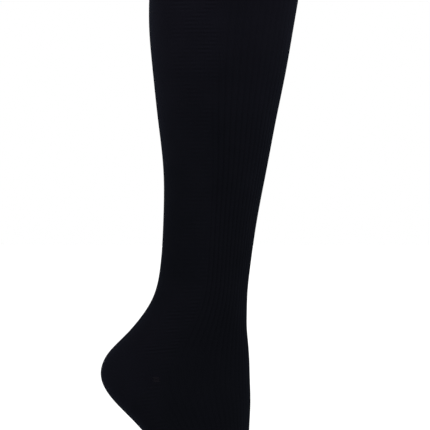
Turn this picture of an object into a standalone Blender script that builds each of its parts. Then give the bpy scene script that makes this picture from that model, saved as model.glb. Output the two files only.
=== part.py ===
"""Knee-high compression stocking, filled out by a leg with its foot pointed down.

Metres, +Z up, +X towards the shin and the toes. The origin is the centre of the top opening.
Every piece is a hollow knitted wall on one shared surface, place(down, turn):
down is the distance below the top edge, measured along the stocking, in millimetres, and
turn is the angle round it in degrees, 0 at the shin, 90 at the side and 180 at the calf.
"""

from collections import namedtuple

import bmesh
import bpy
import numpy as np

MM = 0.001

# Driving sizes, in millimetres.
KNIT_WALL = 1.2
POCKET_WALL = 1.5
WELT_WALL = 2.4
WELT_PROUD = 0.6
WELT_DEPTH = 42.0
SEAM_GAP = 0.36
TOE_SEAM_DOWN = 572.0
TOE_ROUND = 20.0

# The heel pocket: a wedge behind the ankle, pointed at each side.
HEEL_POINT_TURN = 100.0
HEEL_POINT_DOWN = 404.0
HEEL_RISE = 42.0
HEEL_DROP = 36.0

# Facets.
COLUMNS = 36
WELT_ROWS = 3
LEG_ROWS = 26
HEEL_ROWS = 11
FOOT_ROWS = 16
TOE_ROWS = 9

# Cross-sections from the top edge to the toes, in millimetres. Each one spans from a point on
# the shin side (front) to a point on the calf or sole side (back), with half its width.
# lean moves the widest line, from -1 at the back to 1 in front.
# full squares the back half, from 0 for an oval.
Section = namedtuple("Section", "name front_x front_z back_x back_z half_width lean full")
SECTIONS = (
    Section("top_edge", 60.5, 0.0, -60.5, 0.0, 55.0, -0.02, 0.00),
    Section("below_knee", 59.5, -31.0, -66.5, -31.0, 57.5, -0.05, 0.02),
    Section("calf", 56.0, -64.5, -70.5, -64.5, 59.0, -0.08, 0.04),
    Section("low_calf", 50.0, -101.0, -71.5, -101.0, 57.0, -0.10, 0.04),
    Section("upper_leg", 43.5, -138.5, -68.5, -138.5, 52.0, -0.10, 0.03),
    Section("middle_leg", 35.0, -180.5, -64.0, -180.5, 45.0, -0.08, 0.00),
    Section("lower_leg", 27.0, -222.5, -59.5, -222.5, 38.5, -0.04, 0.00),
    Section("above_ankle", 19.0, -264.5, -59.5, -264.5, 33.5, 0.02, 0.00),
    Section("ankle", 13.5, -302.5, -62.0, -303.0, 31.5, 0.08, 0.00),
    Section("heel_top", 11.0, -326.0, -68.0, -329.0, 32.0, 0.12, 0.02),
    Section("heel_rise", 10.5, -342.0, -79.0, -347.0, 33.0, 0.12, 0.06),
    Section("heel_slope", 10.5, -355.0, -93.5, -363.5, 34.0, 0.12, 0.11),
    Section("heel_back", 11.5, -367.0, -106.5, -377.5, 34.5, 0.10, 0.16),
    Section("heel_tip", 12.5, -381.0, -112.0, -393.0, 35.0, 0.06, 0.20),
    Section("heel_under", 13.0, -397.0, -106.5, -409.0, 34.5, 0.00, 0.22),
    Section("heel_fore", 13.5, -415.0, -89.0, -428.5, 34.0, -0.05, 0.20),
    Section("arch", 12.5, -439.5, -63.5, -458.0, 35.0, -0.10, 0.16),
    Section("waist", 11.5, -466.0, -48.5, -484.0, 37.5, -0.14, 0.14),
    Section("instep", 10.5, -494.0, -38.0, -510.0, 41.0, -0.18, 0.14),
    Section("ball", 9.5, -523.5, -30.5, -537.5, 44.5, -0.20, 0.14),
    Section("toe_base", 8.5, -548.0, -26.0, -560.0, 45.0, -0.16, 0.14),
    Section("toes", 7.5, -570.0, -22.5, -580.0, 43.0, -0.10, 0.14),
    Section("toe_front", 5.5, -588.0, -19.5, -596.0, 38.0, -0.04, 0.12),
)

# Colours are linear red, green and blue.
BLACK_KNIT = (0.0045, 0.0045, 0.0065)
BLACK_WELT = (0.0055, 0.0053, 0.0078)
BLACK_POCKET = (0.0042, 0.0042, 0.0060)
KNIT_ROUGHNESS = 0.85
POCKET_ROUGHNESS = 0.80


def sections_table():
    """The sections' numbers as an array, a row for each section."""
    return np.array([section[1:] for section in SECTIONS])


def distances_down(table):
    """How far down the stocking each section lies: the mean of its front and back outlines."""
    steps = np.diff(table[:, :4], axis=0)
    front = np.hypot(steps[:, 0], steps[:, 1])
    back = np.hypot(steps[:, 2], steps[:, 3])
    return np.concatenate([[0.0], np.cumsum((front + back) / 2)])


def natural_bend(knots, values):
    """The second derivatives of the natural cubic curve through the values, at its knots."""
    step = np.diff(knots)
    slope = np.diff(values, axis=0) / step[:, None]
    matrix = np.eye(len(knots))
    right = np.zeros_like(values)
    for row in range(1, len(knots) - 1):
        matrix[row, row - 1] = step[row - 1]
        matrix[row, row] = 2 * (step[row - 1] + step[row])
        matrix[row, row + 1] = step[row]
        right[row] = 6 * (slope[row] - slope[row - 1])
    return np.linalg.solve(matrix, right)


TABLE = sections_table()
DOWN = distances_down(TABLE)
BEND = natural_bend(DOWN, TABLE)
TOE_END_DOWN = DOWN[-1] + TOE_ROUND * np.pi / 2


def on_curve(down):
    """The section's numbers at each distance down, read from the smooth curve through the table."""
    index = np.clip(np.searchsorted(DOWN, down) - 1, 0, len(DOWN) - 2)
    step = (DOWN[index + 1] - DOWN[index])[:, None]
    above = (DOWN[index + 1] - down)[:, None] / step
    below = 1 - above
    straight = above * TABLE[index] + below * TABLE[index + 1]
    bend = (above**3 - above) * BEND[index] + (below**3 - below) * BEND[index + 1]
    return straight + bend * step**2 / 6


def section_at(down):
    """The section's numbers at each distance down, rounded off to a point past the last row.

    Past the last row the section keeps its taper and its travel follows a sine, while its
    half depth and half width follow the cosine of the same angle.
    """
    last = DOWN[-1]
    numbers = on_curve(np.minimum(down, last))
    taper = (on_curve(np.array([last])) - on_curve(np.array([last - 1.0])))[0]
    angle = np.clip((down - last) / TOE_ROUND, 0, np.pi / 2)[:, None]
    numbers = numbers + taper * TOE_ROUND * np.sin(angle)
    middle = (numbers[:, 0:2] + numbers[:, 2:4]) / 2
    reach = (numbers[:, 0:2] - numbers[:, 2:4]) / 2 * np.cos(angle)
    width = numbers[:, 4:5] * np.cos(angle)
    return middle, reach, width, numbers[:, 5:6], numbers[:, 6:7]


def place(down, turn):
    """Points on the stocking's outer surface, in metres.

    Across the section, from the middle towards the front by
    cos(turn) (1 + full sin^2) + lean sin^2, and sideways by sin(turn) (1 + full cos^2),
    with full fading from its own value at the back to nothing in front.
    """
    down, turn = np.broadcast_arrays(np.asarray(down, float), np.asarray(turn, float))
    middle, reach, width, lean, full = section_at(down.ravel())
    angle = np.radians(turn.ravel())[:, None]
    cosine, sine = np.cos(angle), np.sin(angle)
    square = full * (1 - cosine) / 2
    forward = cosine * (1 + square * sine**2) + lean * sine**2
    sideways = sine * (1 + square * cosine**2) * width
    centre = middle + reach * forward
    points = np.column_stack([centre[:, 0], sideways[:, 0], centre[:, 1]])
    return points.reshape(*down.shape, 3) * MM


def heel_share(turn):
    """How far the pocket has opened at this turn: 0 at its side points, 1 at the back."""
    behind = np.abs((np.asarray(turn, float) + 180) % 360 - 180)
    share = (behind - HEEL_POINT_TURN) / (180 - HEEL_POINT_TURN)
    return np.sin(np.radians(90 * np.clip(share, 0, 1)))


def heel_upper_line(turn):
    """The course where the leg meets the heel pocket, and in front of it the foot."""
    return HEEL_POINT_DOWN - HEEL_RISE * heel_share(turn)


def heel_lower_line(turn):
    """The course where the heel pocket meets the sole, and in front of it the leg."""
    return HEEL_POINT_DOWN + HEEL_DROP * heel_share(turn)


def turns_all_round():
    """The turn of each column of a closed tube."""
    return np.arange(COLUMNS) * 360 / COLUMNS


def grid_points(upper, lower, turns, rows):
    """Rows of points between two lines, each a distance down for every turn."""
    share = np.linspace(0, 1, rows + 1)[:, None]
    return place(upper * (1 - share) + lower * share, np.tile(turns, (rows + 1, 1)))


def knitted_object(name, points, closed_round, material):
    """A mesh object of quads on a grid of points, its faces outwards."""
    mesh = bpy.data.meshes.new(name)
    shell = bmesh.new()
    rows = [[shell.verts.new(point) for point in row] for row in points]
    columns = len(rows[0])
    last = columns if closed_round else columns - 1
    for above, below in zip(rows, rows[1:]):
        for column in range(last):
            beside = (column + 1) % columns
            shell.faces.new((above[column], below[column], below[beside], above[beside]))
    shell.to_mesh(mesh)
    shell.free()
    mesh.materials.append(material)
    mesh.shade_smooth()
    item = bpy.data.objects.new(name, mesh)
    bpy.context.scene.collection.objects.link(item)
    return item


def merge_closed_ends(item):
    """Merges the points that fell on one spot, at a pocket's point or the toe's tip."""
    shell = bmesh.new()
    shell.from_mesh(item.data)
    bmesh.ops.remove_doubles(shell, verts=shell.verts, dist=0.01 * MM)
    shell.to_mesh(item.data)
    shell.free()


def give_wall(item, thickness, proud=0.0):
    """Gives the surface a wall inwards, with part of it standing proud."""
    wall = item.modifiers.new("wall", "SOLIDIFY")
    wall.thickness = thickness * MM
    wall.offset = 2 * proud / thickness - 1
    wall.use_even_offset = False


def cloth(name, colour, roughness):
    """A knitted finish."""
    material = bpy.data.materials.new(name)
    material.use_nodes = True
    shader = material.node_tree.nodes["Principled BSDF"]
    shader.inputs["Base Color"].default_value = (*colour, 1.0)
    shader.inputs["Roughness"].default_value = roughness
    shader.inputs["Metallic"].default_value = 0.0
    return material


def make_top_band():
    """The turned welt: a double band round the top opening."""
    turns = turns_all_round()
    lower = np.full(COLUMNS, WELT_DEPTH - SEAM_GAP / 2)
    points = grid_points(np.zeros(COLUMNS), lower, turns, WELT_ROWS)
    item = knitted_object("top_band", points, True, cloth("welt_knit", BLACK_WELT, KNIT_ROUGHNESS))
    give_wall(item, WELT_WALL, WELT_PROUD)


def make_leg():
    """The leg's tube, from the welt to the heel pocket and the instep."""
    turns = turns_all_round()
    upper = np.full(COLUMNS, WELT_DEPTH + SEAM_GAP / 2)
    lower = heel_upper_line(turns) - SEAM_GAP / 2
    points = grid_points(upper, lower, turns, LEG_ROWS)
    item = knitted_object("leg", points, True, cloth("leg_knit", BLACK_KNIT, KNIT_ROUGHNESS))
    give_wall(item, KNIT_WALL)


def make_heel():
    """The heel pocket: a wedge of cloth round the back of the heel."""
    step = 360 / COLUMNS
    turns = np.arange(HEEL_POINT_TURN, 360 - HEEL_POINT_TURN + step / 2, step)
    upper = heel_upper_line(turns) + SEAM_GAP / 2
    lower = heel_lower_line(turns) - SEAM_GAP / 2
    for end, inwards in ((0, 1), (-1, -1)):
        turns[end] += inwards * SEAM_GAP
        upper[end] = lower[end] = HEEL_POINT_DOWN
    points = grid_points(upper, lower, turns, HEEL_ROWS)
    item = knitted_object("heel", points, False, cloth("heel_knit", BLACK_POCKET, POCKET_ROUGHNESS))
    merge_closed_ends(item)
    give_wall(item, POCKET_WALL)


def make_foot():
    """The foot's tube, from the instep and the heel pocket to the toe seam."""
    turns = turns_all_round()
    upper = heel_lower_line(turns) + SEAM_GAP / 2
    lower = np.full(COLUMNS, TOE_SEAM_DOWN - SEAM_GAP / 2)
    points = grid_points(upper, lower, turns, FOOT_ROWS)
    item = knitted_object("foot", points, True, cloth("foot_knit", BLACK_KNIT, KNIT_ROUGHNESS))
    give_wall(item, KNIT_WALL)


def make_toe():
    """The toe pocket, rounded off to its tip."""
    turns = turns_all_round()
    upper = np.full(COLUMNS, TOE_SEAM_DOWN + SEAM_GAP / 2)
    lower = np.full(COLUMNS, TOE_END_DOWN)
    points = grid_points(upper, lower, turns, TOE_ROWS)
    item = knitted_object("toe", points, True, cloth("toe_knit", BLACK_POCKET, POCKET_ROUGHNESS))
    merge_closed_ends(item)
    give_wall(item, POCKET_WALL)


def clear_scene():
    """Removes whatever the scene holds."""
    for item in list(bpy.data.objects):
        bpy.data.objects.remove(item, do_unlink=True)


def main():
    """Builds the stocking from its top edge to its toe."""
    clear_scene()
    make_top_band()
    make_leg()
    make_heel()
    make_foot()
    make_toe()


main()
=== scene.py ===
"""Looks of a knee-high compression stocking, filled out by a leg with its foot pointed down.

Every cloth piece is a thin knitted wall on one shared surface. A place on that surface is
(down, turn): down is the distance below the top edge, measured along the stocking in
millimetres, and turn is the angle round it in degrees, 0 at the shin, 90 at the side and 180
at the calf. Metres elsewhere, +Z up, +X towards the shin and the toes.
"""

import logging
from dataclasses import astuple, dataclass, field
from enum import Enum
from functools import cached_property, partial, reduce

import bmesh
import bpy
import numpy as np
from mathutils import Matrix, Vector


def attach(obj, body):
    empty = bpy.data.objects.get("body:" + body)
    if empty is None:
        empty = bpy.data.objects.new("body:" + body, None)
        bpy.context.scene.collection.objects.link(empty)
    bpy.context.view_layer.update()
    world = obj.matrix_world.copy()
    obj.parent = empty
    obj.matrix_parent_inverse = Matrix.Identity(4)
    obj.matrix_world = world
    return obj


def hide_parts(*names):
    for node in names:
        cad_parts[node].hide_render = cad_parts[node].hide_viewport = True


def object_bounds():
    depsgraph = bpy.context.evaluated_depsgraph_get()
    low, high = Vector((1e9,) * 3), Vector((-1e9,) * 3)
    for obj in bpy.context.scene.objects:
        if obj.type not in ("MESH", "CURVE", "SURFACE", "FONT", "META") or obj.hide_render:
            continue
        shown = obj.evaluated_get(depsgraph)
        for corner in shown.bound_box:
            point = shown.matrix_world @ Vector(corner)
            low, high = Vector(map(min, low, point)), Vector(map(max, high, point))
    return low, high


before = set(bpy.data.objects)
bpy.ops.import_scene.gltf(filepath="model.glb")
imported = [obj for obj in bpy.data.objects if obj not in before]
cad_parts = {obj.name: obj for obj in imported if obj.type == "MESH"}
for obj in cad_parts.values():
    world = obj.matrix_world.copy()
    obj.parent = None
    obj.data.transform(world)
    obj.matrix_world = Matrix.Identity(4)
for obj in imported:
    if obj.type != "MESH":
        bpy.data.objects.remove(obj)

CAD_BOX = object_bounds()
BODY = "root"
MM = 0.001
MERGE = 0.000002  # points nearer than this, in metres, are one
LOG = logging.getLogger("stocking")

# Where the stretches of the stocking meet, in millimetres down from the top edge.
WELT_DEPTH = 42.0
HEEL_POINT_DOWN = 404.0
TOE_SEAM_DOWN = 572.0

# The heel pocket: a wedge behind the ankle, pointed at each side.
HEEL_POINT_TURN = 100.0
HEEL_RISE = 42.0
HEEL_DROP = 36.0

# How the knit is counted all round and all the way down.
WALES_ROUND = 320
COURSES_DOWN = 780
FULL_LENGTH = 650.0

# The relaxed cloth as a share of the worn one, round the leg and along it.
RELAXED_ROUND = 0.74
RELAXED_LONG = 0.96

Points = np.ndarray
Pair = tuple[float, float]
Line = Points | float
Laid = tuple[Line, Line, Line]
Colour = tuple[float, float, float]
Node = bpy.types.Node
Socket = bpy.types.NodeSocket
Value = Socket | float
Inputs = dict[str | int, Value | tuple[float, ...]]
Material = bpy.types.Material
Piece = bpy.types.Object


class Slot(Enum):
    """The record's material slots, which the stretches hold and nothing reads."""

    WELT = "welt_knit"
    RIBBED = "ribbed_knit"
    POCKET = "pocket_knit"


class Side(Enum):
    """The two sides of the stocking, as the sign of turn."""

    LEFT = 1.0
    RIGHT = -1.0


@dataclass(frozen=True)
class Section:
    """One cross-section, from a point on the shin side to one on the calf or sole side, in mm.

    lean moves the widest line, from -1 at the back to 1 in front. full squares the back half.
    """

    name: str
    front_x: float
    front_z: float
    back_x: float
    back_z: float
    half_width: float
    lean: float
    full: float


SECTIONS: tuple[Section, ...] = (
    Section("top_edge", 60.5, 0.0, -60.5, 0.0, 55.0, -0.02, 0.00),
    Section("below_knee", 59.5, -31.0, -66.5, -31.0, 57.5, -0.05, 0.02),
    Section("calf", 56.0, -64.5, -70.5, -64.5, 59.0, -0.08, 0.04),
    Section("low_calf", 50.0, -101.0, -71.5, -101.0, 57.0, -0.10, 0.04),
    Section("upper_leg", 43.5, -138.5, -68.5, -138.5, 52.0, -0.10, 0.03),
    Section("middle_leg", 35.0, -180.5, -64.0, -180.5, 45.0, -0.08, 0.00),
    Section("lower_leg", 27.0, -222.5, -59.5, -222.5, 38.5, -0.04, 0.00),
    Section("above_ankle", 19.0, -264.5, -59.5, -264.5, 33.5, 0.02, 0.00),
    Section("ankle", 13.5, -302.5, -62.0, -303.0, 31.5, 0.08, 0.00),
    Section("heel_top", 11.0, -326.0, -68.0, -329.0, 32.0, 0.12, 0.02),
    Section("heel_rise", 10.5, -342.0, -79.0, -347.0, 33.0, 0.12, 0.06),
    Section("heel_slope", 10.5, -355.0, -93.5, -363.5, 34.0, 0.12, 0.11),
    Section("heel_back", 11.5, -367.0, -106.5, -377.5, 34.5, 0.10, 0.16),
    Section("heel_tip", 12.5, -381.0, -112.0, -393.0, 35.0, 0.06, 0.20),
    Section("heel_under", 13.0, -397.0, -106.5, -409.0, 34.5, 0.00, 0.22),
    Section("heel_fore", 13.5, -415.0, -89.0, -428.5, 34.0, -0.05, 0.20),
    Section("arch", 12.5, -439.5, -63.5, -458.0, 35.0, -0.10, 0.16),
    Section("waist", 11.5, -466.0, -48.5, -484.0, 37.5, -0.14, 0.14),
    Section("instep", 10.5, -494.0, -38.0, -510.0, 41.0, -0.18, 0.14),
    Section("ball", 9.5, -523.5, -30.5, -537.5, 44.5, -0.20, 0.14),
    Section("toe_base", 8.5, -548.0, -26.0, -560.0, 45.0, -0.16, 0.14),
    Section("toes", 7.5, -570.0, -22.5, -580.0, 43.0, -0.10, 0.14),
    Section("toe_front", 5.5, -588.0, -19.5, -596.0, 38.0, -0.04, 0.12),
)


@dataclass(frozen=True)
class Stop:
    """A row of a table that runs down the stocking."""

    down: float


@dataclass(frozen=True)
class ClothStop(Stop):
    """What the cloth does at one distance down.

    The lift of its tone is how far it is stretched, from 0 at the ankle to 1 on the calf. lines is how
    strongly the elastic laid into its courses shows.
    """

    tone_lift: float
    lines: float


CLOTH: tuple[ClothStop, ...] = (
    ClothStop(0.0, 1.00, 0.7),
    ClothStop(102.0, 1.00, 0.8),
    ClothStop(130.0, 0.60, 0.9),
    ClothStop(160.0, 0.50, 0.5),
    ClothStop(220.0, 0.22, 0.4),
    ClothStop(300.0, 0.06, 0.5),
    ClothStop(345.0, 0.06, 1.0),
    ClothStop(375.0, 0.04, 1.0),
    ClothStop(400.0, 0.00, 0.4),
    ClothStop(572.0, 0.04, 0.4),
)

# Painted light over the back of the heel: a bell that lifts the cloth's tone where light from above falls on
# its upper slope.
HEEL_PAINTED_LIGHT = 0.70
HEEL_PAINTED_LIGHT_DOWN = 380.0
HEEL_PAINTED_LIGHT_REACH = 42.0
HEEL_PAINTED_LIGHT_TURNS = (85.0, 130.0)


@dataclass(frozen=True)
class RibReach(Stop):
    """How far round from the shin the ribs show at one distance down, and how strongly."""

    edge_turn: float
    strength: float


@dataclass(frozen=True)
class Sway:
    """One slow sine of the ribs' stray: its height in degrees, its lengths down and round, its start."""

    height: float
    down: float
    turn: float
    start: float


@dataclass(frozen=True)
class Stitch:
    """One stitch's sizes in millimetres. lift is how far its middle lies out of the form."""

    length: float
    width: float
    height: float
    lift: float


def between(stops: tuple[Stop, ...], value: str, down: Points) -> Points:
    """The value of this name at each distance down, straight between the table's rows."""
    return np.interp(down, [stop.down for stop in stops], [getattr(stop, value) for stop in stops])


def smooth_step(value: Points, low: float, high: float) -> Points:
    """Rises from 0 where the value is low to 1 where it is high, as 3t^2 - 2t^3."""
    share = np.clip((value - low) / (high - low), 0.0, 1.0)
    return share * share * (3.0 - 2.0 * share)


def window(value: Points, rise: Pair, fall: Pair) -> Points:
    """Rises from 0 to 1 between the two values of rise, and back to 0 between those of fall."""
    return smooth_step(value, *rise) * (1 - smooth_step(value, *fall))


def bell(distance: Points, reach: float) -> Points:
    """1 at no distance, and exp(-(distance / reach)^2) further off."""
    return np.exp(-((distance / reach) ** 2))


def unit(vectors: Points) -> Points:
    """The vectors at length one, with a last axis of 3."""
    return vectors / np.linalg.norm(vectors, axis=-1, keepdims=True)


def turn_from_shin(turn: Points) -> Points:
    """The angle from the shin without its sign, from 0 to 180 degrees."""
    return np.abs((turn + 180.0) % 360.0 - 180.0)


def tone_lift(down: Points, turn: Points) -> Points:
    """How much the cloth's tone is lifted: its stretch from the table, where 1 is the calf's, plus a bell of
    painted light behind the heel.
    """
    behind = HEEL_PAINTED_LIGHT * smooth_step(turn_from_shin(turn), *HEEL_PAINTED_LIGHT_TURNS)
    return between(CLOTH, "tone_lift", down) + behind * bell(down - HEEL_PAINTED_LIGHT_DOWN, HEEL_PAINTED_LIGHT_REACH)


def heel_share(turn: Points) -> Points:
    """How far the heel pocket has spread: 0 at its side points, rising as a sine to 1 behind."""
    share = (turn_from_shin(turn) - HEEL_POINT_TURN) / (180.0 - HEEL_POINT_TURN)
    return np.sin(np.radians(90.0 * np.clip(share, 0.0, 1.0)))


def heel_upper_line(turn: Points) -> Points:
    """The course where the leg ends, at each turn."""
    return HEEL_POINT_DOWN - HEEL_RISE * heel_share(turn)


def heel_lower_line(turn: Points) -> Points:
    """The course where the foot begins, at each turn."""
    return HEEL_POINT_DOWN + HEEL_DROP * heel_share(turn)


@dataclass
class LegForm:
    """The stocking's shared surface, from its sections.

    down_step and turn_step are half the central differences that its directions come from.
    """

    sections: tuple[Section, ...] = SECTIONS
    toe_round: float = 20.0
    down_step: float = 0.25
    turn_step: float = 0.2
    girth_points: int = 181
    table: Points = field(init=False)
    knots: Points = field(init=False)
    bend: Points = field(init=False)

    def __post_init__(self) -> None:
        """Measures the sections and fits the natural cubic curve through them."""
        self.table = np.array([astuple(section)[1:] for section in self.sections])
        steps = np.diff(self.table[:, :4], axis=0)
        reach = (np.hypot(steps[:, 0], steps[:, 1]) + np.hypot(steps[:, 2], steps[:, 3])) / 2
        self.knots = np.concatenate([[0.0], np.cumsum(reach)])
        self.bend = self._natural_bend()

    def _natural_bend(self) -> Points:
        """The curve's second derivatives at its knots.

        Returns:
            A row for each section, from the usual tridiagonal equations with free ends.
        """
        step = np.diff(self.knots)
        slope = np.diff(self.table, axis=0) / step[:, None]
        inner = np.arange(1, len(self.knots) - 1)
        matrix = np.eye(len(self.knots))
        matrix[inner, inner - 1] = step[:-1]
        matrix[inner, inner] = 2 * (step[:-1] + step[1:])
        matrix[inner, inner + 1] = step[1:]
        right = np.zeros_like(self.table)
        right[1:-1] = 6 * np.diff(slope, axis=0)
        return np.linalg.solve(matrix, right)

    @property
    def end_down(self) -> float:
        """How far down the toe's tip lies."""
        return float(self.knots[-1] + self.toe_round * np.pi / 2)

    def _on_curve(self, down: Points) -> Points:
        """The section's sizes on the cubic curve at each distance down.

        Args:
            down: distances down, in a row.

        Returns:
            A row of sizes for each distance.
        """
        index = np.clip(np.searchsorted(self.knots, down) - 1, 0, len(self.knots) - 2)
        step = (self.knots[index + 1] - self.knots[index])[:, None]
        above = (self.knots[index + 1] - down)[:, None] / step
        below = 1 - above
        straight = above * self.table[index] + below * self.table[index + 1]
        bend = (above**3 - above) * self.bend[index] + (below**3 - below) * self.bend[index + 1]
        return straight + bend * step**2 / 6

    def sizes_at(self, down: Points) -> tuple[Points, ...]:
        """The section at each distance down, rounded off to a point past the last row.

        Past the last row the section keeps its taper, its travel follows a sine, and its half
        depth and half width follow the cosine of the same angle.

        Args:
            down: distances down, in a row.

        Returns:
            The middle and the half depth as (x, z), the half width, the lean and the fullness.
        """
        last = self.knots[-1]
        numbers = self._on_curve(np.minimum(down, last))
        taper = (self._on_curve(np.array([last])) - self._on_curve(np.array([last - 1.0])))[0]
        angle = np.clip((down - last) / self.toe_round, 0, np.pi / 2)[:, None]
        numbers = numbers + taper * self.toe_round * np.sin(angle)
        middle = (numbers[:, 0:2] + numbers[:, 2:4]) / 2
        reach = (numbers[:, 0:2] - numbers[:, 2:4]) / 2 * np.cos(angle)
        return middle, reach, numbers[:, 4:5] * np.cos(angle), numbers[:, 5:6], numbers[:, 6:7]

    def skin(self, down: Points, turn: Points) -> Points:
        """Points on the surface.

        Across the section the point lies cos(turn) (1 + full sin^2) + lean sin^2 half depths
        from the middle towards the front, and sin(turn) (1 + full cos^2) half widths sideways.
        full fades from its own value at the back to nothing in front.

        Args:
            down: distances down, of any shape.
            turn: turns of the same shape, or one that broadcasts to it.

        Returns:
            The points in metres, with a last axis of 3.
        """
        down, turn = np.broadcast_arrays(np.asarray(down, float), np.asarray(turn, float))
        middle, reach, width, lean, full = self.sizes_at(down.ravel())
        angle = np.radians(turn.ravel())[:, None]
        cosine, sine = np.cos(angle), np.sin(angle)
        square = full * (1 - cosine) / 2
        centre = middle + reach * (cosine * (1 + square * sine**2) + lean * sine**2)
        sideways = sine * (1 + square * cosine**2) * width
        points = np.column_stack([centre[:, 0], sideways[:, 0], centre[:, 1]])
        return points.reshape(*down.shape, 3) * MM

    def change(self, down: Points, turn: Points, down_step: float, turn_step: float) -> Points:
        """How the surface goes from a step before each place to a step past it."""
        return self.skin(down + down_step, turn + turn_step) - self.skin(down - down_step, turn - turn_step)

    def along(self, down: Points, turn: Points) -> Points:
        """Unit vectors down the surface."""
        return unit(self.change(down, turn, self.down_step, 0.0))

    def outward(self, down: Points, turn: Points) -> Points:
        """Unit vectors out of the surface. At the toe's tip they are those of a millimetre short of it."""
        down = np.minimum(down, self.end_down - 1.0)
        return unit(np.cross(self.along(down, turn), self.change(down, turn, 0.0, self.turn_step)))

    def girth(self, down: float) -> float:
        """The length round the section at one distance down, in metres."""
        ring = self.skin(down, np.linspace(0.0, 360.0, self.girth_points))
        return float(np.linalg.norm(np.diff(ring, axis=0), axis=1).sum())


@dataclass(frozen=True)
class Ribs:
    """The lengthwise ribs: broad flat ridges parted by narrow grooves.

    phases are the columns of one rib, close together where its groove lies. The ribs run
    straight above straight_above and below straight_below. closed is how much less the ribbed
    cloth is pulled open than the plain. Over the side of the ankle the ribs are pulled nearly
    flat: ankle_place and ankle_reach are that patch's middle and reach as (down, turn).
    """

    count: int = 64
    groove_depth: float = 0.42
    groove_width: float = 0.15
    edge_fade: float = 7.0
    dense_turn: float = 118.125
    phases: tuple[float, ...] = (0.0, 0.08, 0.17, 0.30, 0.50, 0.70, 0.83, 0.92)
    straight_above: float = 70.0
    straight_below: float = 540.0
    straight_behind: float = 90.0
    closed: float = 0.25
    ankle_place: Pair = (397.0, 82.0)
    ankle_reach: Pair = (24.0, 20.0)
    ankle_opened: float = 0.75
    sways: tuple[Sway, ...] = (
        Sway(0.26, 41.0, 23.0, 0.0),
        Sway(0.17, 17.5, -37.0, 1.3),
        Sway(0.10, 9.7, 11.0, 4.1),
    )
    reaches: tuple[RibReach, ...] = (
        RibReach(42.0, 80.0, 0.40),
        RibReach(115.0, 84.0, 0.42),
        RibReach(190.0, 91.0, 0.92),
        RibReach(300.0, 92.0, 1.00),
        RibReach(375.0, 93.0, 0.95),
        RibReach(415.0, 98.0, 0.55),
        RibReach(450.0, 112.0, 0.60),
        RibReach(545.0, 106.0, 0.60),
        RibReach(568.0, 100.0, 0.00),
    )

    @property
    def pitch(self) -> float:
        """The turn from one groove to the next."""
        return 360.0 / self.count

    @property
    def ridge(self) -> float:
        """How far the ridges stand out of the form: a third of a groove's depth, in millimetres."""
        return self.groove_depth / 3

    def columns(self) -> Points:
        """Turns of a closed tube's columns: close together on the ribs, open behind.

        Returns:
            Sorted turns from -180 to 180, with the heel pocket's two points among them.
        """
        reach = round(self.dense_turn / self.pitch)
        dense = ((np.arange(-reach, reach)[:, None] + np.array(self.phases)) * self.pitch).ravel()
        behind = np.arange(self.dense_turn, 180.0 + self.pitch / 4, self.pitch / 2)
        points = [HEEL_POINT_TURN, -HEEL_POINT_TURN]
        return np.unique(np.round(np.concatenate([dense, behind, -behind, points]), decimals=5))

    def wander(self, down: Points, turn: Points) -> Points:
        """How far the ribs stray round the leg, in degrees.

        A sum of slow sines, faded out behind and at the two ends.

        Args:
            down: distances down.
            turn: turns.

        Returns:
            The stray at each place.
        """
        stray = sum(way.height * np.sin(down / way.down + turn / way.turn + way.start) for way in self.sways)
        ends = window(down, (WELT_DEPTH, self.straight_above), (self.straight_below, TOE_SEAM_DOWN))
        return stray * ends * (1 - smooth_step(turn_from_shin(turn), self.straight_behind, HEEL_POINT_TURN))

    def shown(self, down: Points, turn: Points) -> Points:
        """How far a place is on the ribbed front: 1 there, easing to 0 over twice the edge fade."""
        past = turn_from_shin(turn) - between(self.reaches, "edge_turn", down)
        return 1 - smooth_step(past, -self.edge_fade, self.edge_fade)

    def groove(self, down: Points, turn: Points) -> Points:
        """How deep in a groove each place is, from 0 on a ridge to 1 at a full groove's bottom.

        A bell of the distance to the nearest groove, times the ribs' strength there, which
        sinks by another bell over the side of the ankle.

        Args:
            down: distances down.
            turn: turns before they stray.

        Returns:
            The share of the full depth.
        """
        phase = (turn / self.pitch + 0.5) % 1.0 - 0.5
        flat = bell(down - self.ankle_place[0], self.ankle_reach[0])
        flat = flat * bell(turn_from_shin(turn) - self.ankle_place[1], self.ankle_reach[1])
        strength = between(self.reaches, "strength", down) * (1 - self.ankle_opened * flat)
        return strength * self.shown(down, turn) * bell(phase, self.groove_width)


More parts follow.
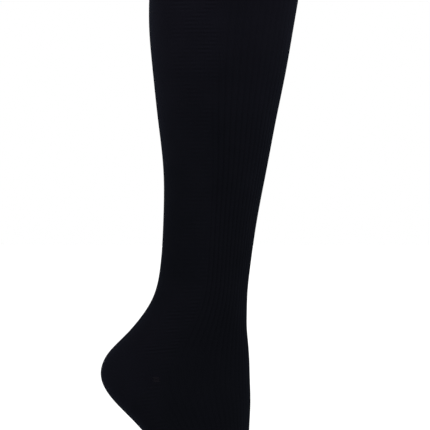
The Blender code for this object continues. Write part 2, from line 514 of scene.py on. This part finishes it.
class Graph:
    """A new material, and a short way to write its nodes."""

    def __init__(self, name: str) -> None:
        """Makes the material, with an empty tree.

        Args:
            name: the material's name.
        """
        self.material = bpy.data.materials.new(name)
        self.material.use_nodes = True
        self.tree = self.material.node_tree
        self.tree.nodes.clear()

    def node(self, kind: str, inputs: Inputs | None = None, **settings: object) -> Node:
        """Adds a node, sets its properties and feeds its inputs.

        Args:
            kind: the node's type, without the words that all types begin with.
            inputs: an output, a number or a colour for each input, by the input's name or place.
            settings: its properties, by name.

        Returns:
            The new node.
        """
        made = self.tree.nodes.new(f"ShaderNode{kind}")
        for name, value in settings.items():
            setattr(made, name, value)
        for name, value in (inputs or {}).items():
            if isinstance(value, Socket):
                self.tree.links.new(value, made.inputs[name])
            else:
                made.inputs[name].default_value = value
        return made

    def mark(self, name: str) -> Socket:
        """The number that the mesh's points carry under this name."""
        return self.node("Attribute", attribute_name=name).outputs["Fac"]

    def math(self, operation: str, *values: Value) -> Socket:
        """The result of an operation on numbers or outputs, in order."""
        return self.node("Math", dict(enumerate(values)), operation=operation).outputs[0]

    def product(self, *values: Value) -> Socket:
        """The product of numbers or outputs."""
        return reduce(partial(self.math, "MULTIPLY"), values)

    def ramp(self, value: Value, after: Pair, before: Pair = (0.0, 1.0)) -> Socket:
        """Maps the range before onto the range after, clamped."""
        return self.node("MapRange", dict(enumerate((value, *before, *after))), clamp=True).outputs["Result"]

    def noise(self, vector: Socket, scale: float, octaves: float) -> Socket:
        """A noise from 0 to 1, with this many cells to the vector's unit."""
        return self.node("TexNoise", {"Vector": vector, "Scale": scale, "Detail": octaves}).outputs["Fac"]

    def blend(self, share: Value, first: Colour, second: Colour) -> Socket:
        """Mixes two colours, where share is how much of the second one."""
        inputs = {0: share, 6: (*first, 1.0), 7: (*second, 1.0)}
        return self.node("Mix", inputs, data_type="RGBA").outputs[2]

    def shade(self, inputs: Inputs) -> Material:
        """Ends the tree with one Principled shader of these inputs, and gives the material."""
        self.node("OutputMaterial", {"Surface": self.node("BsdfPrincipled", inputs).outputs[0]})
        return self.material


@dataclass(frozen=True)
class KnitFinish:
    """Black elastic knit: loops in wales and courses, the elastic's lines and slow changes of tone.

    The shades are shares of the cloth's own colour, the heights are in millimetres, and the
    scales are cells to the metre, or to the whole map for the patches of lines. The edges are
    the noise values between which a patch or the mottle goes from one end to the other.
    groove_shade is painted shade in the grooves, and the loops' tones are painted light on their
    tops and painted shade between them.
    """

    name: str
    slack_colour: Colour
    # The colour at full tone, where the cloth is stretched and where light is painted behind the heel.
    stretched_and_lit_colour: Colour
    # Painted shade in the grooves: the share of the colour taken off at a groove's bottom.
    groove_shade: float = 0.12
    line_shade: float = 0.20
    courses_to_line: float = 4.0
    patch_scale: Pair = (30.0, 60.0)
    patch_start: Pair = (4.6, 8.6)
    patch_edges: Pair = (0.46, 0.60)
    patch_floor: float = 0.15
    mottle: float = 0.05
    mottle_scale: float = 26.0
    mottle_edges: Pair = (0.3, 0.7)
    stray_tone: float = 0.5
    roughness: float = 0.80
    specular: float = 0.001
    sheen: float = 0.016
    sheen_roughness: float = 0.35
    sheen_tint: Colour = (0.49, 0.65, 1.0)
    loop_slant: float = 0.45
    # Painted light and shade of the loops: the colour's share between them and on their tops.
    loop_light_and_shade: Pair = (0.76, 1.16)
    loop_height: float = 0.16
    fuzz_height: float = 0.05
    fuzz_scale: float = 2600.0
    relief: float = 0.6

    @cached_property
    def material(self) -> Material:
        """Writes the finish as a material, once for all its pieces.

        Returns:
            The material, of one Principled shader with its colour and bump from nodes.
        """
        graph = Graph(self.name)
        place = graph.node("TexCoord").outputs
        loops, inlay = self._knit(graph, place["UV"])
        fuzz = graph.noise(place["Object"], self.fuzz_scale, octaves=2.0)
        height = graph.math("MULTIPLY_ADD", fuzz, self.fuzz_height, graph.product(loops, self.loop_height))
        bump = graph.node("Bump", {"Strength": self.relief, "Distance": MM, "Height": height})
        return graph.shade({
            "Base Color": self._colour(graph, place["Object"], place["UV"], loops, inlay),
            "Roughness": self.roughness,
            "Specular IOR Level": self.specular,
            "Sheen Weight": self.sheen,
            "Sheen Roughness": self.sheen_roughness,
            "Sheen Tint": (*self.sheen_tint, 1.0),
            "Normal": bump.outputs["Normal"],
        })

    def _knit(self, graph: Graph, chart: Socket) -> tuple[Socket, Socket]:
        """The loops of the knit and the elastic laid into every fourth course.

        With a the distance from the wale's middle, from 0 to 1, a loop's height is
        |sin(pi (course + slant a))| (1 - a^3), which draws the V of a plain stitch.

        Args:
            graph: the material's graph.
            chart: the piece's own map.

        Returns:
            The loops' height, from 0 to 1, and the inlay's wave, from -1 to 1.
        """
        across, down = graph.node("SeparateXYZ", {0: chart}).outputs[:2]
        wale = graph.math("FRACT", graph.product(across, WALES_ROUND))
        aside = graph.math("ABSOLUTE", graph.math("MULTIPLY_ADD", wale, 2.0, -1.0))
        course = graph.product(down, COURSES_DOWN)
        slant = graph.math("MULTIPLY_ADD", aside, self.loop_slant, course)
        ridge = graph.math("ABSOLUTE", graph.math("SINE", graph.product(slant, np.pi)))
        edge = graph.math("SUBTRACT", 1.0, graph.math("POWER", aside, 3.0))
        line = graph.math("SINE", graph.product(course, 2 * np.pi / self.courses_to_line))
        return graph.product(ridge, edge), line

    def _colour(self, graph: Graph, place: Socket, chart: Socket, loops: Socket, inlay: Socket) -> Socket:
        """The cloth's colour: lighter where it is stretched and under the painted light behind the heel,
        with painted shade in grooves and between loops and painted light on the loops' tops.

        Args:
            graph: the material's graph.
            place: the place in metres.
            chart: the piece's own map.
            loops: the loops' height.
            inlay: the elastic's lines.

        Returns:
            The colour's output.
        """
        slow = graph.noise(place, self.mottle_scale, octaves=3.0)
        # The tone mark carries the stretch and the painted light behind the heel; a slow noise strays it.
        evened = graph.math("SUBTRACT", graph.mark("tone"), self.stray_tone / 2)
        stretch_and_light = graph.math("MULTIPLY_ADD", slow, self.stray_tone, evened)
        stretch_and_light = graph.ramp(stretch_and_light, (0.0, 1.0))
        scaled = {"Vector": chart, "Location": (*self.patch_start, 0.0), "Scale": (*self.patch_scale, 1.0)}
        patches = graph.node("Mapping", scaled, vector_type="POINT").outputs[0]
        patches = graph.noise(patches, scale=1.0, octaves=1.0)
        patches = graph.ramp(patches, (self.patch_floor, 1.0), self.patch_edges)
        lines = graph.product(patches, graph.mark("lines"), inlay)
        light = graph.product(
            graph.math("MULTIPLY_ADD", lines, self.line_shade, 1.0),
            # Painted shade in the grooves.
            graph.ramp(graph.mark("groove"), (1.0, 1.0 - self.groove_shade)),
            # Painted light on the loops' tops and painted shade between them.
            graph.ramp(loops, self.loop_light_and_shade),
            graph.ramp(slow, (1.0 - self.mottle, 1.0 + self.mottle), self.mottle_edges),
        )
        colour = graph.blend(stretch_and_light, self.slack_colour, self.stretched_and_lit_colour)
        return graph.node("VectorMath", {0: colour, "Scale": light}, operation="SCALE").outputs[0]


@dataclass(frozen=True)
class ThreadFinish:
    """Twisted nylon sewing thread, its plies seen as fine bands of tone."""

    name: str
    colour: Colour
    roughness: float = 0.55
    specular: float = 0.02
    ply_scale: float = 2200.0
    ply_stray: float = 1.5
    ply_dark: float = 0.7

    @cached_property
    def material(self) -> Material:
        """Writes the thread as a material, once for all its pieces.

        Returns:
            The material.
        """
        graph = Graph(self.name)
        place = graph.node("TexCoord").outputs["Object"]
        bands = {"Vector": place, "Scale": self.ply_scale, "Distortion": self.ply_stray}
        wave = graph.node("TexWave", bands, bands_direction="DIAGONAL").outputs["Fac"]
        dark = tuple(share * self.ply_dark for share in self.colour)
        return graph.shade({
            "Base Color": graph.blend(wave, dark, self.colour),
            "Roughness": self.roughness,
            "Specular IOR Level": self.specular,
        })


def place_in_scene(name: str, data: bpy.types.ID) -> Piece:
    """Puts a mesh, lamp or camera into the scene, at the origin.

    Args:
        name: the object's name.
        data: what it shows.

    Returns:
        The new object.
    """
    item = bpy.data.objects.new(name, data)
    bpy.context.scene.collection.objects.link(item)
    return item


def make_piece(mesh: bpy.types.Mesh, material: Material) -> Piece:
    """Merges the points of a mesh that coincide, dresses it and puts it into the scene.

    Args:
        mesh: the mesh, which gives the piece its name.
        material: its finish.

    Returns:
        The piece's object.
    """
    shell = bmesh.new()
    shell.from_mesh(mesh)
    bmesh.ops.remove_doubles(shell, verts=shell.verts, dist=MERGE)
    shell.to_mesh(mesh)
    shell.free()
    mesh.materials.append(material)
    mesh.shade_smooth()
    return place_in_scene(mesh.name, mesh)


def declare(item: Piece, nodes: tuple[str, ...] = ()) -> None:
    """Says which body a piece rides on and which nodes it stands for.

    Args:
        item: the piece.
        nodes: the CAD nodes that it hides.
    """
    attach(item, BODY)
    if nodes:
        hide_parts(*nodes)


@dataclass
class Grid:
    """A surface of rows and columns, with its map and marks, which may be of any shape that broadcasts."""

    points: Points
    across: Points
    length: Points
    groove: Points
    tone: Points
    lines: Points

    def spread(self, values: Points) -> Points:
        """The values at every point of the grid, in one row."""
        return np.broadcast_to(values, self.points.shape[:2]).astype(np.float32).ravel()

    def item(self, name: str, material: Material) -> Piece:
        """Makes the grid an object, its faces outwards.

        Args:
            name: the object's name.
            material: its finish.

        Returns:
            The object, at the origin.
        """
        shape = self.points.shape[:2]
        corner = np.arange(shape[0] * shape[1]).reshape(shape)
        quads = np.stack([corner[:-1, :-1], corner[1:, :-1], corner[1:, 1:], corner[:-1, 1:]], axis=-1)
        mesh = bpy.data.meshes.new(name)
        mesh.from_pydata(self.points.reshape(-1, 3), [], quads.reshape(-1, 4))
        corners = np.empty(len(mesh.loops), np.int32)
        mesh.loops.foreach_get("vertex_index", corners)
        chart = np.stack([self.spread(self.across), self.spread(self.length)], axis=-1)[corners]
        mesh.uv_layers.new(name="knit").data.foreach_set("uv", chart.ravel())
        # groove drives the painted shade in the grooves, and tone the stretch and the painted light behind
        # the heel.
        for mark, values in (("groove", self.groove), ("tone", self.tone), ("lines", self.lines)):
            mesh.attributes.new(mark, "FLOAT", "POINT").data.foreach_set("value", self.spread(values))
        item = make_piece(mesh, material)
        edges = np.empty(len(mesh.loops), np.int32)
        mesh.loops.foreach_get("edge_index", edges)
        # The open edges are sharp, so that a wall's rim doesn't bend the shading.
        border = np.bincount(edges, minlength=len(mesh.edges)) == 1
        mesh.attributes.new("sharp_edge", "BOOLEAN", "EDGE").data.foreach_set("value", border)
        return item


@dataclass
class KnittedStretch:
    """A stretch of the stocking between two lines, and what every stretch does alike.

    lines_fade are the turns between which the elastic's lines fade out behind.
    """

    form: LegForm
    ribs: Ribs
    finish: KnitFinish
    name: str = "stretch"
    nodes: tuple[str, ...] = ()
    slot: Slot = Slot.RIBBED
    wall: float = 1.1
    rows: int = 40
    lines_fade: Pair = (116.0, 144.0)
    girth_stations: int = 24

    def turns(self) -> Points:
        """The turns of this stretch's columns."""
        return self.ribs.columns()

    def lines(self, turns: Points) -> tuple[Line, Line]:
        """How far down the stretch's upper and lower line lie at each turn, or one number for all."""
        raise NotImplementedError

    def courses(self, down: Points, share: Points) -> Points:
        """How far down the knit is counted at each place, in millimetres: the courses are level rings."""
        return down

    def relief(self, down: Points, turns: Points, share: Points) -> Points:
        """How far each place stands out of the form, in millimetres."""
        return self.ribs.ridge - self.ribs.groove(down, turns) * self.ribs.groove_depth

    def elastic(self, down: Points, turns: Points) -> Points:
        """How strongly the elastic's lines show: on the sides, from the ribs' edge to the calf."""
        behind = smooth_step(turn_from_shin(turns), *self.lines_fade)
        return between(CLOTH, "lines", down) * (1 - self.ribs.shown(down, turns)) * (1 - behind)

    def grid(self) -> Grid:
        """Works the stretch out as a grid: each row lies a share of the way between its lines.

        Returns:
            The grid, its points moved out of the form by the relief.
        """
        turns = self.turns()[None, :]
        share = np.linspace(0.0, 1.0, self.rows + 1)[:, None]
        upper, lower = self.lines(turns)
        down = upper * (1 - share) + lower * share
        strayed = turns + self.ribs.wander(down, turns)
        relief = self.relief(down, turns, share)[..., None] * MM
        points = self.form.skin(down, strayed) + self.form.outward(down, strayed) * relief
        return Grid(
            points,
            (turns + 180.0) / 360.0,
            1.0 - self.courses(down, share) / FULL_LENGTH,
            self.ribs.groove(down, turns),
            # The tone: the cloth's stretch, lowered on the ribs, and the painted light behind the heel.
            tone_lift(down, turns) * (1 - self.ribs.closed * self.ribs.shown(down, turns)),
            self.elastic(down, turns),
        )

    def flat_cut(self, points: Points) -> tuple[Pair, float]:
        """The relaxed cloth laid flat, all round: its widest, its longest, and its area.

        The worn area is half the sum of the crossed diagonals of the grid's quads.

        Args:
            points: the grid's points.

        Returns:
            The width and length in metres, and the area in square metres.
        """
        turns = self.turns()
        upper, lower = self.lines(turns)
        before_tip = self.form.end_down - self.form.toe_round
        stations = np.linspace(np.min(upper), min(np.max(lower), before_tip), self.girth_stations)
        width = max(self.form.girth(station) for station in stations) * (turns[-1] - turns[0]) / 360.0
        flat = (width * RELAXED_ROUND, float(np.max(lower - upper)) * MM * RELAXED_LONG)
        crossed = np.cross(points[1:, 1:] - points[:-1, :-1], points[1:, :-1] - points[:-1, 1:])
        worn = float(np.linalg.norm(crossed, axis=-1).sum() / 2)
        return flat, min(worn * RELAXED_ROUND * RELAXED_LONG, flat[0] * flat[1])

    def build(self) -> None:
        grid = self.grid()
        item = grid.item(self.name, self.finish.material)
        wall = item.modifiers.new("wall", "SOLIDIFY")
        wall.thickness = self.wall * MM
        wall.offset = -1.0
        wall.use_even_offset = False
        flat, area = self.flat_cut(grid.points)
        declare(item, self.nodes)
        LOG.info("%s: %d rows, cut %.3f by %.3f m, %.4f m2", self.name, self.rows, *flat, area)


@dataclass
class Leg(KnittedStretch):
    """The leg's tube, from the welt to the heel pocket and the instep."""

    name: str = "leg_knit"
    nodes: tuple[str, ...] = ("leg",)
    rows: int = 122

    def lines(self, turns: Points) -> tuple[Line, Line]:
        """From the welt to the heel pocket's upper line."""
        return WELT_DEPTH, heel_upper_line(turns)


@dataclass
class Foot(KnittedStretch):
    """The foot's tube, from the instep and the heel pocket to the toe seam."""

    name: str = "foot_knit"
    nodes: tuple[str, ...] = ("foot",)
    rows: int = 64

    def lines(self, turns: Points) -> tuple[Line, Line]:
        """From the heel pocket's lower line to the toe seam."""
        return heel_lower_line(turns), TOE_SEAM_DOWN


@dataclass
class Heel(KnittedStretch):
    """The heel pocket: a wedge of plain knit that turns on a gore line at each side.

    gore_fade holds the turns over which the gore line comes in, and those over which it goes
    out. The cloth swells by edge_lift within edge_reach of the pocket's rim.
    """

    name: str = "heel_knit"
    nodes: tuple[str, ...] = ("heel",)
    slot: Slot = Slot.POCKET
    wall: float = 1.4
    rows: int = 44
    gore_fade: tuple[Pair, Pair] = ((102.0, 116.0), (142.0, 154.0))
    gore_depth: float = 0.22
    gore_width: float = 0.9
    edge_lift: float = 0.10
    edge_reach: float = 2.5
    lines_shown: float = 0.3

    def elastic(self, down: Points, turns: Points) -> Points:
        """The pocket is closely knit, so its lines hardly show."""
        return np.full(1, self.lines_shown)

    def turns(self) -> Points:
        """The columns from one of the pocket's points round the back to the other."""
        columns = self.ribs.columns() % 360.0
        return np.unique(columns[(columns >= HEEL_POINT_TURN) & (columns <= 360.0 - HEEL_POINT_TURN)])

    def lines(self, turns: Points) -> tuple[Line, Line]:
        """From the pocket's upper line to its lower one."""
        return heel_upper_line(turns), heel_lower_line(turns)

    def courses(self, down: Points, share: Points) -> Points:
        """The courses run with the upper line above the gore and with the lower one below it."""
        half = 1 - np.abs(2 * share - 1)
        return HEEL_POINT_DOWN + half * (HEEL_RISE + HEEL_DROP) / 2

    def relief(self, down: Points, turns: Points, share: Points) -> Points:
        """The pocket lies flush with the ribs' ridges, and sinks along its gore lines.

        Args:
            down: distances down.
            turns: turns of the columns.
            share: how far each place is from the upper line to the lower one.

        Returns:
            The heights: a bell-shaped groove on the middle line, which fades out behind.
        """
        depth = heel_lower_line(turns) - heel_upper_line(turns)
        gore = bell((share - 0.5) * depth, self.gore_width) * window(turn_from_shin(turns), *self.gore_fade)
        swell = smooth_step(np.minimum(share, 1 - share) * depth, 0.0, self.edge_reach)
        return self.ribs.ridge + self.edge_lift * swell - self.gore_depth * gore


@dataclass
class Toe(KnittedStretch):
    """The toe pocket, of plain knit, rounded off to its tip.

    gore_width is in degrees. gore_fade and tip are shares of the way from the seam to the tip:
    those over which the gore line comes in and goes out, and those over which the relief fades.
    """

    name: str = "toe_knit"
    nodes: tuple[str, ...] = ("toe",)
    slot: Slot = Slot.POCKET
    wall: float = 1.4
    rows: int = 40
    column_count: int = 144
    gore_turn: float = 92.0
    gore_depth: float = 0.45
    gore_width: float = 2.08
    gore_fade: tuple[Pair, Pair] = ((0.02, 0.10), (0.55, 0.78))
    tip: Pair = (0.85, 1.0)

    def turns(self) -> Points:
        """Even columns all round."""
        return np.linspace(-180.0, 180.0, self.column_count + 1)

    def lines(self, turns: Points) -> tuple[Line, Line]:
        """From the toe seam to the tip."""
        return TOE_SEAM_DOWN, self.form.end_down

    def relief(self, down: Points, turns: Points, share: Points) -> Points:
        """Flush with the foot's ridges, with a gore line along each side, fading at the tip."""
        gore = bell(turn_from_shin(turns) - self.gore_turn, self.gore_width) * window(share, *self.gore_fade)
        return (self.ribs.ridge - self.gore_depth * gore) * (1 - smooth_step(share, *self.tip))


@dataclass
class TopBand:
    """The turned welt: a double band with a rolled top edge and a caught-down lower edge.

    proud is how far its face stands out of the form, and roll how far it swells in its middle.
    The fine ribs come in from the two edges as a sine to the power rib_ease, with painted shade between them
    by rib_shade.
    """

    form: LegForm
    finish: KnitFinish
    name: str = "top_band_knit"
    wall: float = 2.4
    proud: float = 0.6
    roll: float = 0.25
    fine_ribs: int = 160
    rib_columns: int = 4
    rib_height: float = 0.13
    rib_ease: float = 0.3
    rib_shade: float = 0.5
    face_rows: int = 30
    fold_rows: int = 8
    top_guard: float = 0.3

    def profile(self) -> tuple[Points, ...]:
        """The band's wall in section.

        Down the outer face, which swells as a sine, round the lower edge on a half circle, up
        the inner face and over the top fold on another half circle.

        Returns:
            Distances down, heights out of the form, and how much the fine ribs show.
        """
        half = self.wall / 2
        middle = self.proud - half
        bow = np.sin(np.pi * np.linspace(0.0, 1.0, self.face_rows))
        face = np.linspace(half, WELT_DEPTH - half, self.face_rows)
        fold = np.linspace(0.0, np.pi, self.fold_rows)[1:-1]
        down = [face, face[-1] + half * np.sin(fold), face[::-1], face[0] - half * np.sin(fold), face[:1]]
        out = [
            self.proud + self.roll * bow,
            middle + half * np.cos(fold),
            np.full(self.face_rows, middle - half),
            middle - half * np.cos(fold),
            [self.proud],
        ]
        down = np.concatenate(down)
        ribbed = np.concatenate([bow**self.rib_ease, np.zeros(len(down) - self.face_rows)])
        return down, np.concatenate(out), ribbed

    def build(self) -> None:
        """Carries the profile round the form, as a closed ring."""
        turns = np.linspace(-180.0, 180.0, self.fine_ribs * self.rib_columns + 1)[None, :]
        down, out, shown = (values[:, None] for values in self.profile())
        wave = np.cos(np.radians(turns) * self.fine_ribs)
        height = (out + wave * self.rib_height * shown)[..., None] * MM
        outward = self.form.outward(np.maximum(down, self.top_guard), turns)
        points = self.form.skin(down, turns) + outward * height
        walked = np.concatenate([[0.0], np.cumsum(np.hypot(np.diff(down[:, 0]), np.diff(out[:, 0])))])
        across, length = (turns + 180.0) / 360.0, (walked / FULL_LENGTH)[:, None]
        # Painted shade between the fine ribs, carried in the groove mark.
        groove = (1 - wave * shown) / 2 * shown * self.rib_shade
        grid = Grid(points, across, length, groove, tone_lift(down, turns), np.zeros(1))
        item = grid.item(self.name, self.finish.material)
        declare(item, ("top_band",))
        flat = (self.form.girth(WELT_DEPTH / 2) * RELAXED_ROUND, WELT_DEPTH * MM * RELAXED_LONG)
        LOG.info("%s: %d quads, cut %.3f by %.3f m", self.name, len(item.data.polygons), *flat)


@dataclass
class Seams:
    """The stitches that show: the gore lines and their ends, the toe's linked seam, the welt's catch.

    Each tilt is a stitch's angle from the stocking's length, in degrees. gore_turns are the turns
    of a gore's first and last stitch. The floats lie apart from the heel pocket's point by
    float_downs and float_turns, in a thread lighter than the rest: a painted sheen.
    """

    form: LegForm
    thread: ThreadFinish
    # The floats' thread, lighter than the rest: a painted sheen.
    sheen_fleck: ThreadFinish
    gore_stitch: Stitch = Stitch(1.5, 0.5, 0.4, -0.12)
    gore_stitches: int = 26
    gore_turns: Pair = (102.7, 149.68)
    gore_tilts: Pair = (128.0, 52.0)
    float_stitch: Stitch = Stitch(6.6, 0.85, 0.4, 0.20)
    float_downs: tuple[float, ...] = (0.4, 1.5, 2.6, 3.6)
    float_turns: tuple[float, ...] = (5.4, 4.8, 5.2, 4.6)
    float_tilt: float = 90.0
    toe_stitch: Stitch = Stitch(2.3, 0.95, 0.9, 0.18)
    toe_stitches: int = 92
    toe_seam_turn: float = 92.0
    toe_tilt: float = 58.0
    catch_stitch: Stitch = Stitch(1.7, 0.55, 0.5, 0.18)
    catch_stitches: int = 180
    catch_gap: float = 0.4
    catch_tilt: float = 74.0
    pod_rings: int = 6
    pod_spokes: int = 8

    def pods(self, stitch: Stitch, laid: Laid) -> Points:
        """The points of a small pod on every place of a run.

        A pod is an ellipsoid: cos(u) along the stitch, sin(u) cos(v) across it and sin(u) sin(v)
        out of the cloth, scaled by half its sizes.

        Args:
            stitch: the sizes of one stitch.
            laid: the stitches' distances down, their turns and their tilts.

        Returns:
            Points in metres, as pods, rings, spokes and a last axis of 3.
        """
        down, turn, tilt = np.broadcast_arrays(*laid)
        rise = np.linspace(0.0, np.pi, self.pod_rings)[:, None]
        swing = np.linspace(0.0, 2 * np.pi, self.pod_spokes + 1)[None, :-1]
        ball = [np.cos(rise) + 0 * swing, np.sin(rise) * np.cos(swing), np.sin(rise) * np.sin(swing)]
        half = np.array([stitch.length, stitch.width, stitch.height]) * MM / 2
        normal = self.form.outward(down, turn)
        along = self.form.along(down, turn)
        angle = np.radians(tilt)[:, None]
        run = along * np.cos(angle) + np.cross(normal, along) * np.sin(angle)
        axes = np.stack([run, np.cross(normal, run), normal], axis=1)
        centre = self.form.skin(down, turn) + normal * stitch.lift * MM
        return centre[:, None, None] + (np.stack(ball, axis=-1) * half) @ axes[:, None]

    def sew(
        self, name: str, thread: ThreadFinish, stitch: Stitch, laid: Laid
    ) -> None:
        """Sews a run of stitches, joined in one mesh.

        Args:
            name: the run's name.
            thread: its finish.
            stitch: the sizes of one stitch.
            laid: where the stitches lie, as for the pods.
        """
        pods = self.pods(stitch, laid)
        corner = np.arange(self.pod_rings * self.pod_spokes).reshape(self.pod_rings, self.pod_spokes)
        beside = np.roll(corner, -1, axis=1)
        quads = np.stack([corner[:-1], corner[1:], beside[1:], beside[:-1]], axis=-1).reshape(-1, 4)
        shifts = np.arange(len(pods))[:, None, None] * corner.size
        mesh = bpy.data.meshes.new(name)
        mesh.from_pydata(pods.reshape(-1, 3), [], (quads[None] + shifts).reshape(-1, 4))
        declare(make_piece(mesh, thread.material))
        LOG.info("%s: %d stitches", name, len(pods))

    def gores(self) -> None:
        """Sews each gore line with stitches that lean to and fro, and ties its end with loose floats."""
        turn = np.linspace(*self.gore_turns, self.gore_stitches)
        down = (heel_upper_line(turn) + heel_lower_line(turn)) / 2
        tilt = np.resize(self.gore_tilts, self.gore_stitches)
        end_down = HEEL_POINT_DOWN + np.array(self.float_downs)
        end_turn = HEEL_POINT_TURN + np.array(self.float_turns)
        for side in Side:
            name, sign = side.name.lower(), side.value
            laid = (down, sign * turn, sign * tilt)
            self.sew(f"gore_stitches_{name}", self.thread, self.gore_stitch, laid)
            laid = (end_down, sign * end_turn, self.float_tilt)
            # The floats are sewn in the lighter thread of painted sheen.
            self.sew(f"gore_end_{name}", self.sheen_fleck, self.float_stitch, laid)

    def toe_seam(self) -> None:
        """Links the seam across the toes: a chain of leaning stitches from side to side."""
        turn = np.linspace(-self.toe_seam_turn, self.toe_seam_turn, self.toe_stitches)
        self.sew("toe_seam", self.thread, self.toe_stitch, (TOE_SEAM_DOWN, turn, self.toe_tilt))

    def welt_catch(self) -> None:
        """Catches the welt down with a row of stitches just under its lower edge."""
        turn = np.arange(self.catch_stitches) * 360.0 / self.catch_stitches
        laid = (WELT_DEPTH + self.catch_gap, turn, self.catch_tilt)
        self.sew("welt_catch", self.thread, self.catch_stitch, laid)


@dataclass(frozen=True)
class Panel:
    """A tall soft lamp: its name, where it stands and its power in watts."""

    name: str
    place: tuple[float, float, float]
    power: float


@dataclass
class Studio:
    """The pale floor, the soft lights and the camera. The floor lies floor_drop below the toe."""

    view_centre: tuple[float, float, float] = (-0.0162, 0.0, -0.2604)
    view_height: float = 0.3612
    distance: float = 3.0
    sensor: float = 36.0
    floor_drop: float = 0.02
    floor_half: float = 40.0
    floor_tone: float = 0.93
    floor_roughness: float = 0.9
    sky_strength: float = 1.0
    top_power: float = 0.9
    top_spread: float = 2.4
    top_tilt: float = 0.25
    panel_size: Pair = (0.5, 1.5)
    panels: tuple[Panel, ...] = (
        Panel("left_panel", (-1.3, 0.15, -0.15), 0.5),
        Panel("right_panel", (1.3, 0.05, -0.2), 2.5),
    )

    def floor(self) -> None:
        """A plain pale floor just below the toe."""
        level = float(CAD_BOX[0][2]) - self.floor_drop
        half = self.floor_half
        corners = [(-half, -half, level), (half, -half, level), (half, half, level), (-half, half, level)]
        mesh = bpy.data.meshes.new("floor")
        mesh.from_pydata(corners, [], [(0, 1, 2, 3)])
        pale = {"Base Color": (*[self.floor_tone] * 3, 1.0), "Roughness": self.floor_roughness}
        mesh.materials.append(Graph("pale_floor").shade(pale))
        place_in_scene("floor", mesh)

    def lights(self) -> None:
        """White surroundings, a wide soft light from above and a tall panel on each side."""
        world = bpy.data.worlds.new("white_surroundings")
        world.use_nodes = True
        sky = world.node_tree.nodes["Background"]
        sky.inputs["Color"].default_value = (1.0, 1.0, 1.0, 1.0)
        sky.inputs["Strength"].default_value = self.sky_strength
        bpy.context.scene.world = world
        top = bpy.data.lights.new("soft_top", "SUN")
        top.energy = self.top_power
        top.angle = self.top_spread
        place_in_scene("soft_top", top).rotation_euler = (self.top_tilt, 0.0, 0.0)
        for panel in self.panels:
            lamp = bpy.data.lights.new(panel.name, "AREA")
            lamp.shape = "RECTANGLE"
            lamp.size, lamp.size_y = self.panel_size
            lamp.energy = panel.power
            item = place_in_scene(panel.name, lamp)
            item.location = panel.place
            aim = Vector(self.view_centre) - Vector(panel.place)
            item.rotation_euler = aim.to_track_quat("-Z", "Y").to_euler()

    def camera(self) -> None:
        """A long lens level with the shank, looking along +Y."""
        lens = bpy.data.cameras.new("camera")
        lens.sensor_width = self.sensor
        lens.lens = self.sensor * self.distance / self.view_height
        item = place_in_scene("camera", lens)
        item.location = (self.view_centre[0], -self.distance, self.view_centre[2])
        item.rotation_euler = (np.pi / 2, 0.0, 0.0)
        bpy.context.scene.camera = item
        bpy.context.scene.view_settings.view_transform = "Standard"


def main() -> None:
    """Builds the studio, then the stocking from its top edge to its toe."""
    logging.basicConfig(level=logging.INFO, format="%(name)s: %(message)s")
    studio = Studio()
    studio.camera()
    studio.floor()
    studio.lights()
    form, ribs = LegForm(), Ribs()
    knit = KnitFinish("leg_and_foot_knit", (0.0034, 0.0037, 0.0052), (0.0051, 0.0050, 0.0077))
    pocket = KnitFinish("heel_and_toe_knit", (0.0036, 0.0038, 0.0056), (0.0051, 0.0052, 0.0079))
    welt = KnitFinish("top_band_knit", (0.0038, 0.0039, 0.0058), (0.0051, 0.0050, 0.0077))
    thread = ThreadFinish("black_thread", (0.0036, 0.0037, 0.0054))
    # Lighter than the thread: a painted sheen on the gore's floats.
    sheen_fleck = ThreadFinish("gore_float_painted_sheen", (0.0061, 0.0056, 0.0080))
    TopBand(form, welt).build()
    Leg(form, ribs, knit).build()
    Heel(form, ribs, pocket).build()
    Foot(form, ribs, knit).build()
    Toe(form, ribs, pocket).build()
    seams = Seams(form, thread, sheen_fleck)
    seams.gores()
    seams.toe_seam()
    seams.welt_catch()


if __name__ == "__main__":
    main()
